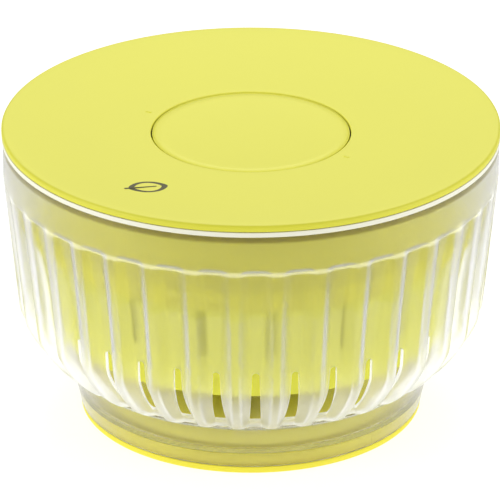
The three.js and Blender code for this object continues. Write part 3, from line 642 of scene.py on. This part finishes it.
# %% Button
BUTTON_RADIUS = 51.6
BUTTON_HOLLOW = 1.6
BUTTON_WALL = 1.9
BUTTON_TOP_WALL = 2.2
button_bottom = button_low.z / MM
skirt_inside = BUTTON_RADIUS - BUTTON_WALL


def hollow_height(radius):
    """Height of the button's top at a radius, in millimetres."""
    return BUTTON_TOP - BUTTON_HOLLOW * (1 - (radius / BUTTON_RADIUS) ** 2)


hollow = [(radius, hollow_height(radius)) for radius in (8, 16, 24, 32, 40, 46, 49.6)]
button = spun("button_shell", [(0, hollow_height(0))] + hollow + rounded([
    (BUTTON_RADIUS, BUTTON_TOP - 0.05), (BUTTON_RADIUS, button_bottom),
    (skirt_inside, button_bottom), (skirt_inside, hollow_height(skirt_inside) - BUTTON_TOP_WALL),
], [1.1, 0.5, 0.5, 0.8], 6) + [
    (radius, hollow_height(radius) - BUTTON_TOP_WALL) for radius in (20, 0)
])
button_lugs = [
    tab(f"lug_{i}", BUTTON_RADIUS + 0.1, button_bottom + 1.5, width=12.5, depth=2, rise=3,
        degrees=FRONT + 120 * i)
    for i in range(3)
]
joined(button, *button_lugs)
print("button:", triangles(button), "triangles")

# %% [markdown]
# ## The drive plate
#
# Under the lid a white plate closes the basket and turns with it. It dips round the button's
# well, and a closed column in its middle takes the spindle. It shows when the lid is lifted.

# %% Drive plate
plate_bottom = plate_low.z / MM
plate_top = plate_high.z / MM
plate_radius = plate_high.x / MM
PLATE_THICKNESS = 2
COLUMN_RADIUS, COLUMN_BORE, COLUMN_CAP = 9, 7, 1.5
SLEEVE_RADIUS, SLEEVE_BORE = 22, 19.9
SLEEVE_TOP = 99.75
NUT_FLOOR = 89.75
nut_under = NUT_FLOOR - PLATE_THICKNESS
drive_plate = spun("drive_plate_shell", [(0, plate_bottom)] + rounded([
    (COLUMN_RADIUS, plate_bottom), (COLUMN_RADIUS, nut_under), (SLEEVE_RADIUS, nut_under),
    (SLEEVE_RADIUS, SLEEVE_TOP - 1 - PLATE_THICKNESS),
    (58.6, SLEEVE_TOP - 1 - PLATE_THICKNESS), (69.1, plate_top - PLATE_THICKNESS),
    (plate_radius, plate_top - PLATE_THICKNESS), (plate_radius, plate_top),
    (67.5, plate_top), (57.2, SLEEVE_TOP - 1), (SLEEVE_RADIUS, SLEEVE_TOP - 1),
    (SLEEVE_RADIUS, SLEEVE_TOP), (SLEEVE_BORE, SLEEVE_TOP), (SLEEVE_BORE, NUT_FLOOR),
    (COLUMN_BORE, NUT_FLOOR), (COLUMN_BORE, plate_bottom + COLUMN_CAP),
], [1.5, 0.8, 0.8, 0.8, 4, 4, 0.6, 0.6, 4, 3, 0.4, 0.2, 0.2, 0.2, 0.2, 0.5]) +
    [(0, plate_bottom + COLUMN_CAP)])
plate_lugs = [
    tab(f"drive_lug_{i}", BASKET_TOP_RADIUS - 2, BASKET_TOP - 1.5, width=10.4, depth=2.6,
        rise=3.6, degrees=FRONT + 60 * i)
    for i in range(6)
]
joined(drive_plate, *plate_lugs)
print("drive plate:", triangles(drive_plate), "triangles")

# %% [markdown]
# ## Printed marks
#
# A leaf is pad-printed on the lid in dark olive, and two short raised dashes beside the button
# show how it is turned. Both are thin pieces that follow the dish. The leaf's outline is a strip
# between two pointed ovals, with a vein down its middle.

# %% Leaf and dashes
LEAF_PLACE = Vector((-52.5, -75))
LEAF_TURN = math.radians(18)
LEAF_LENGTH = 21
LEAF_WIDTH = 15
PRINT_RISE = 0.05
PRINT_THICKNESS = 0.1
DASH_RADIUS = 59.5
DASH_PLACES = (155, -34)


def leaf_outline(inset, count=20):
    """A pointed oval, drawn anticlockwise, whose edge lies so far inside the full leaf."""
    half_length = LEAF_LENGTH / 2 - inset * 1.9
    half_width = LEAF_WIDTH / 2 - inset
    points = []
    for side in (-1, 1):
        for i in range(count):
            along = -side * math.cos(math.pi * i / count)
            across = side * math.sin(math.pi * i / count) ** 1.4
            points.append(Vector((along * half_length, across * half_width)))
    return points


def printed(name, loops):
    """Bridges loops of points into flat strips that lie just above the lid's dish."""
    mesh = bpy.data.meshes.new(name)
    points, faces = [], []
    for outer, inner in loops:
        start, count = len(points), len(outer)
        points += outer + inner
        for i in range(count):
            j = (i + 1) % count
            faces.append((start + i, start + j, start + count + j, start + count + i))
    placed = []
    for point in points:
        turned = Vector((
            point.x * math.cos(LEAF_TURN) - point.y * math.sin(LEAF_TURN),
            point.x * math.sin(LEAF_TURN) + point.y * math.cos(LEAF_TURN),
        )) + LEAF_PLACE
        placed.append((turned.x * MM, turned.y * MM, (dish_height(turned.length) + PRINT_RISE) * MM))
    mesh.from_pydata(placed, [], faces)
    piece = bpy.data.objects.new(name, mesh)
    bpy.context.collection.objects.link(piece)
    return piece


def dash_loop(start, end, width):
    """Two side lines of a tapered dash, as a pair of loops for a strip."""
    along = (end - start).normalized()
    across = Vector((-along.y, along.x)) * width / 2
    middle = (start + end) / 2
    outer = [start - across, end - across * 0.5, end + across * 0.5, start + across]
    inner = [middle, middle, middle, middle]
    return outer, inner


half = LEAF_LENGTH / 2
leaf = printed("printed_leaf", [
    (leaf_outline(0), leaf_outline(1.7)),
    dash_loop(Vector((-half - 2, 0)), Vector((half - 6, 0)), 1.6),
])
applied(leaf, "SOLIDIFY", thickness=PRINT_THICKNESS * MM, offset=1)
finish_mesh(leaf)

dashes = []
for number, degrees in enumerate(DASH_PLACES):
    dash = tab(f"index_dash_{number + 1}", DASH_RADIUS, dish_height(DASH_RADIUS) + 0.1,
               width=1.1, depth=3.2, rise=0.7, degrees=degrees, bevel=0.3)
    dashes.append(dash)
    finish_mesh(dash)
print("printed leaf and", len(dashes), "index dashes")

# %% [markdown]
# ## Finishes
#
# Moulded plastic is never one flat colour: it has a fine grain from the tool and a faint mottle in
# the pigment. One node group makes both from Object coordinates, so the pattern stays put when a
# piece moves. A second gives the height and the radius on a piece, for shades that change along
# it. Each material sets their strength for itself.

# %% Node groups for grain and place
def new_group(name, inputs, outputs):
    """Makes an empty node group with its sockets."""
    group = bpy.data.node_groups.new(name, "ShaderNodeTree")
    for label, value in inputs:
        socket = group.interface.new_socket(label, in_out="INPUT", socket_type="NodeSocketFloat")
        socket.default_value = value
    for label, kind in outputs:
        group.interface.new_socket(label, in_out="OUTPUT", socket_type=kind)
    return group, group.nodes.new("NodeGroupInput"), group.nodes.new("NodeGroupOutput")


def grain_group():
    """Fine moulded grain: a height for bump and a mask that varies the roughness."""
    group, inside, outside = new_group(
        "mould_grain", [("Scale", 900), ("Mottle Scale", 14)],
        [("Height", "NodeSocketFloat"), ("Mottle", "NodeSocketFloat")])
    place = group.nodes.new("ShaderNodeTexCoord")
    fine = group.nodes.new("ShaderNodeTexNoise")
    broad = group.nodes.new("ShaderNodeTexNoise")
    fine.inputs["Detail"].default_value = 3
    broad.inputs["Detail"].default_value = 4
    broad.inputs["Roughness"].default_value = 0.6
    group.links.new(place.outputs["Object"], fine.inputs["Vector"])
    group.links.new(place.outputs["Object"], broad.inputs["Vector"])
    group.links.new(inside.outputs["Scale"], fine.inputs["Scale"])
    group.links.new(inside.outputs["Mottle Scale"], broad.inputs["Scale"])
    group.links.new(fine.outputs["Fac"], outside.inputs["Height"])
    group.links.new(broad.outputs["Fac"], outside.inputs["Mottle"])
    return group


def place_group():
    """Height and distance from the axis, in millimetres, for shades that change along a piece."""
    group, _, outside = new_group(
        "place_on_piece", [], [("Height", "NodeSocketFloat"), ("Radius", "NodeSocketFloat")])
    place = group.nodes.new("ShaderNodeTexCoord")
    scale = group.nodes.new("ShaderNodeVectorMath")
    scale.operation = "SCALE"
    scale.inputs["Scale"].default_value = 1 / MM
    split = group.nodes.new("ShaderNodeSeparateXYZ")
    flat = group.nodes.new("ShaderNodeCombineXYZ")
    length = group.nodes.new("ShaderNodeVectorMath")
    length.operation = "LENGTH"
    group.links.new(place.outputs["Object"], scale.inputs[0])
    group.links.new(scale.outputs["Vector"], split.inputs["Vector"])
    group.links.new(split.outputs["X"], flat.inputs["X"])
    group.links.new(split.outputs["Y"], flat.inputs["Y"])
    group.links.new(flat.outputs["Vector"], length.inputs[0])
    group.links.new(split.outputs["Z"], outside.inputs["Height"])
    group.links.new(length.outputs["Value"], outside.inputs["Radius"])
    return group


GRAIN = grain_group()
PLACE = place_group()
print("node groups:", GRAIN.name, "and", PLACE.name)

# %% [markdown]
# ### Helpers for materials
#
# One helper makes a moulded plastic from two close tones, a roughness and a grain. The other
# blends a colour of a finished material from one value to another along its height or radius.

# %% Helpers for materials
MOTTLE_SCALE = 14


def plastic(name, colour, shade, roughness, grain=900, bump=0.05):
    """A moulded plastic whose colour drifts between two close tones."""
    material = bpy.data.materials.new(name)
    material.use_nodes = True
    nodes, links = material.node_tree.nodes, material.node_tree.links
    shader = nodes["Principled BSDF"]
    pattern = nodes.new("ShaderNodeGroup")
    pattern.node_tree = GRAIN
    pattern.inputs["Scale"].default_value = grain
    pattern.inputs["Mottle Scale"].default_value = MOTTLE_SCALE
    tones = nodes.new("ShaderNodeMix")
    tones.data_type = "RGBA"
    tones.inputs[6].default_value = (*colour, 1)
    tones.inputs[7].default_value = (*shade, 1)
    links.new(pattern.outputs["Mottle"], tones.inputs[0])
    links.new(tones.outputs[2], shader.inputs["Base Color"])
    rough = nodes.new("ShaderNodeMapRange")
    rough.inputs["To Min"].default_value = roughness - 0.05
    rough.inputs["To Max"].default_value = roughness + 0.07
    links.new(pattern.outputs["Mottle"], rough.inputs["Value"])
    links.new(rough.outputs["Result"], shader.inputs["Roughness"])
    relief = nodes.new("ShaderNodeBump")
    relief.inputs["Strength"].default_value = bump
    relief.inputs["Distance"].default_value = 0.1 * MM
    links.new(pattern.outputs["Height"], relief.inputs["Height"])
    links.new(relief.outputs["Normal"], shader.inputs["Normal"])
    return material, shader


def shade_along(material, measure, start, end, before, after, socket):
    """Blends a socket's colour from one value to another along Height or Radius."""
    nodes, links = material.node_tree.nodes, material.node_tree.links
    shader = nodes["Principled BSDF"]
    place = nodes.new("ShaderNodeGroup")
    place.node_tree = PLACE
    ramp = nodes.new("ShaderNodeMapRange")
    ramp.interpolation_type = "SMOOTHSTEP"
    ramp.inputs["From Min"].default_value = start
    ramp.inputs["From Max"].default_value = end
    blend = nodes.new("ShaderNodeMix")
    blend.data_type = "RGBA"
    links.new(place.outputs[measure], ramp.inputs["Value"])
    links.new(ramp.outputs["Result"], blend.inputs[0])
    for index, colour in ((6, before), (7, after)):
        if colour is None:
            links.new(shader.inputs[socket].links[0].from_socket, blend.inputs[index])
        else:
            blend.inputs[index].default_value = (*colour, 1)
    links.new(blend.outputs[2], shader.inputs[socket])


print("mottle scale:", MOTTLE_SCALE)

# %% [markdown]
# ### Opaque plastics
#
# The lid is matt, the button a little smoother, the foot soft and dull. The basket is thin enough
# to let some light through. The hidden parts of the pump are white or off-white.

# %% Opaque plastics
lid_paint, _ = plastic("lid_lime", (0.79, 0.77, 0.075), (0.82, 0.80, 0.09), 0.5, bump=0.08)
button_paint, _ = plastic("button_lime", (0.79, 0.77, 0.06), (0.82, 0.80, 0.075), 0.4, bump=0.04)
basket_paint, basket_shader = plastic("basket_lime", (0.78, 0.78, 0.05), (0.82, 0.81, 0.065), 0.4,
                                      bump=0.04)
basket_shader.inputs["Transmission Weight"].default_value = 0.25
foot_paint, _ = plastic("soft_foot", (0.74, 0.67, 0.03), (0.79, 0.72, 0.05), 0.6,
                        grain=600, bump=0.1)
white_paint, _ = plastic("white_plastic", (0.84, 0.84, 0.81), (0.88, 0.88, 0.86), 0.4)
acetal_paint, _ = plastic("acetal", (0.85, 0.83, 0.76), (0.88, 0.87, 0.81), 0.3, bump=0.02)
bead_paint, _ = plastic("rim_white", (0.76, 0.75, 0.60), (0.79, 0.78, 0.64), 0.4)
ink, _ = plastic("printed_olive", (0.07, 0.065, 0.012), (0.09, 0.08, 0.016), 0.55, bump=0.02)
print("materials after the opaque plastics:", len(bpy.data.materials))

# %% [markdown]
# ### Translucent plastic
#
# The wall scatters light: some passes through and is blurred, some comes back white. A rough
# transmission with a pale body colour gives both. The base is the same plastic from a polished
# tool, so it is less rough.

# %% Translucent plastic
TRANSLUCENT_IOR = 1.3
frosted, frosted_shader = plastic("frosted_wall", (0.99, 0.99, 0.975), (1, 1, 0.99), 0.34,
                                  grain=700, bump=0.02)
frosted_shader.inputs["Transmission Weight"].default_value = 1
frosted_shader.inputs["IOR"].default_value = TRANSLUCENT_IOR
frosted_shader.inputs["Coat Weight"].default_value = 0.4
frosted_shader.inputs["Coat Roughness"].default_value = 0.3

clear, clear_shader = plastic("clear_base", (0.985, 0.985, 0.955), (1, 1, 0.975), 0.2,
                              grain=500, bump=0.02)
clear_shader.inputs["Transmission Weight"].default_value = 1
clear_shader.inputs["IOR"].default_value = TRANSLUCENT_IOR
clear_shader.inputs["Coat Weight"].default_value = 0.5
clear_shader.inputs["Coat Roughness"].default_value = 0.15
print("translucent plastics:", frosted.name, "and", clear.name)

# %% [markdown]
# ### Shades along a piece
#
# Emission paints a little glow where light would soak through thin coloured plastic that is closed
# in: at the lid's skirt, in the basket, under the clear floor, on the foot ring's collar and band,
# at the foot of the wall, and as a painted highlight in a thin line where the flutes end. The skirt
# is also painted darker than the lid's matt top as painted shade inside the bowl, less so along its
# thicker lower edge, and the lid's rim is painted darker as painted shade where it turns from the light
# above.

# %% Shades along a piece
# Radii in millimetres over which the foot ring's painted glow rises, on its disc and on its collar.
DISC_GLOW = (30, 76)
COLLAR_GLOW = (79, 83)
edge_top = skirt_bottom + EDGE_RISE
lid_rim = LID_RADIUS / MM
# Painted glow: these emission colours stand in for light that reaches the closed-in plastic.
for material, measure, start, end, before, after in (
    (lid_paint, "Height", lid_under - 10, lid_under - 4, (0.02, 0.018, 0), (0, 0, 0)),
    (basket_paint, "Height", BASKET_FLOOR - 10.8, BASKET_FLOOR + 3.2,
     (0.08, 0.075, 0.004), (0.08, 0.078, 0.003)),
    (foot_paint, "Radius", *DISC_GLOW, (0.02, 0.018, 0), (0.36, 0.33, 0.08)),
    (foot_paint, "Radius", *COLLAR_GLOW, None, (0.10, 0.075, 0.004)),
    (frosted, "Height", SLOT_BOTTOM + 9, SLOT_TOP + 3, (0.09, 0.09, 0.085), (0.012, 0.012, 0.02)),
    (frosted, "Height", skirt_bottom - 3, skirt_bottom, None, (0, 0, 0)),
    (frosted, "Height", FLUTE_TOP - 2.9, FLUTE_TOP - 2.1, None, (0.15, 0.15, 0.14)),
    (frosted, "Height", FLUTE_TOP - 0.2, FLUTE_TOP + 0.3, None, (0, 0, 0)),
):
    shade_along(material, measure, start, end, before, after, "Emission Color")
    material.node_tree.nodes["Principled BSDF"].inputs["Emission Strength"].default_value = 1

# Later shades lie over earlier ones. Under the rim a dark line of painted shade is laid into the wall's
# colour.
for material, measure, start, end, before, after in (
    # Painted shade on the lid: a darker skirt, less dark along its lower edge, and a darker rim.
    (lid_paint, "Height", lid_under - 6, lid_under - 3, (0.64, 0.60, 0.02), None),
    (lid_paint, "Height", edge_top + 0.8, edge_top + 2, (0.76, 0.72, 0.025), None),
    (lid_paint, "Radius", lid_rim - 1.9, lid_rim - 0.4, None, (0.64, 0.62, 0.03)),
    # Painted shade: a dark band in the wall just under the rim bead.
    (frosted, "Height", rim - 7.1, rim - 5.3, None, (0.45, 0.40, 0.16)),
):
    shade_along(material, measure, start, end, before, after, "Base Color")
print("shaded:", lid_paint.name, basket_paint.name, foot_paint.name, frosted.name)

# %% [markdown]
# ### Steel
#
# The pin, the screws and the return spring are steel, with a very fine grain.

# %% Steel
STEEL_SHADE = 1.12


def brushed_steel(name, tone, roughness):
    """A metal whose colour drifts between a tone and a lighter one."""
    material, shader = plastic(name, (tone,) * 3, (tone * STEEL_SHADE,) * 3, roughness,
                               grain=1500, bump=0.03)
    shader.inputs["Metallic"].default_value = 1
    return material


steel = brushed_steel("bright_steel", 0.6, 0.26)
wire = brushed_steel("spring_wire", 0.5, 0.34)
print("materials:", len(bpy.data.materials))

# %% [markdown]
# ## Put the pieces together
#
# Each new piece rides on a body of the frame and stands for the solid it replaces. The parts of
# the pump that stay hidden keep their solids and only take a finish.

# %% Assign bodies and materials
new_pieces = [
    (bowl_wall, "bowl", "outer_bowl", "frosted_bowl", frosted),
    (base, "bowl", "outer_bowl", "frosted_bowl", clear),
    (bead, "bowl", "outer_bowl", "frosted_bowl", bead_paint),
    (foot_ring, "bowl", "foot_ring", "soft_foot", foot_paint),
    (basket, "basket", "basket", "basket_lime", basket_paint),
    (lid, "lid", "lid_cover", "lid_lime", lid_paint),
    (leaf, "lid", None, "lid_lime", ink),
    (dashes[0], "lid", None, "lid_lime", lid_paint),
    (dashes[1], "lid", None, "lid_lime", lid_paint),
    (button, "button", "button_cap", "button_lime", button_paint),
    (drive_plate, "drive_plate", "drive_plate", "white_plastic", white_paint),
]
for piece, body, node, slot, material in new_pieces:
    piece.data.materials.clear()
    piece.data.materials.append(material)
    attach(piece, body)
    if node:
        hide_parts(node)

kept_finishes = {
    "pivot_pin": steel, "basket_bush": acetal_paint, "mechanism_housing": white_paint,
    "housing_screw_1": steel, "housing_screw_2": steel, "housing_screw_3": steel,
    "housing_screw_4": steel, "nut_cap": white_paint, "nut_washer": acetal_paint,
    "drive_nut": acetal_paint, "hub_ring": white_paint, "hub_washer": acetal_paint,
    "button_carrier": white_paint, "spindle": acetal_paint, "spindle_screw": steel,
    "return_spring": wire,
}
for node, material in kept_finishes.items():
    for material_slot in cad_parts[node].material_slots:
        material_slot.material = material
print(len(new_pieces), "new pieces,", len(kept_finishes), "solids kept")

# %% [markdown]
# ## Floor and light
#
# The set is a plain white floor with soft light from all sides. A bright plain world does most of
# the work, and large lamps at both sides and above give the ribs their pale edges.

# %% Floor, world and lamps
bpy.ops.object.select_all(action="DESELECT")
bpy.ops.mesh.primitive_plane_add(size=12, location=(0, 0, -0.2 * MM))
floor = bpy.context.active_object
floor.name = "floor"
floor_white = bpy.data.materials.new("floor_white")
floor_white.use_nodes = True
floor_shader = floor_white.node_tree.nodes["Principled BSDF"]
floor_shader.inputs["Base Color"].default_value = (0.4, 0.4, 0.4, 1)
floor_shader.inputs["Roughness"].default_value = 0.8
floor_shader.inputs["Emission Color"].default_value = (1, 1, 1, 1)
floor_shader.inputs["Emission Strength"].default_value = 0.75
floor.data.materials.append(floor_white)

world = bpy.data.worlds.new("studio")
world.use_nodes = True
world.node_tree.nodes["Background"].inputs["Color"].default_value = (1, 1, 1, 1)
world.node_tree.nodes["Background"].inputs["Strength"].default_value = 0.62
bpy.context.scene.world = world


LAMP_AIM = Vector((0, 0, 0.08))


def soft_lamp(name, place, power, size):
    """Adds a square lamp that points at the middle of the object."""
    lamp_data = bpy.data.lights.new(name, "AREA")
    lamp_data.energy = power
    lamp_data.size = size
    lamp = bpy.data.objects.new(name, lamp_data)
    lamp.location = place
    lamp.rotation_mode = "QUATERNION"
    lamp.rotation_quaternion = (LAMP_AIM - Vector(place)).to_track_quat("-Z", "Y")
    bpy.context.collection.objects.link(lamp)
    return lamp


soft_lamp("left", (-1.15, -0.55, 0.4), power=6, size=0.7)
soft_lamp("right", (1.15, -0.45, 0.4), power=5, size=0.7)
soft_lamp("top", (0.0, 0.9, 1.3), power=7.5, size=1.0)
print("floor, world and three lamps")
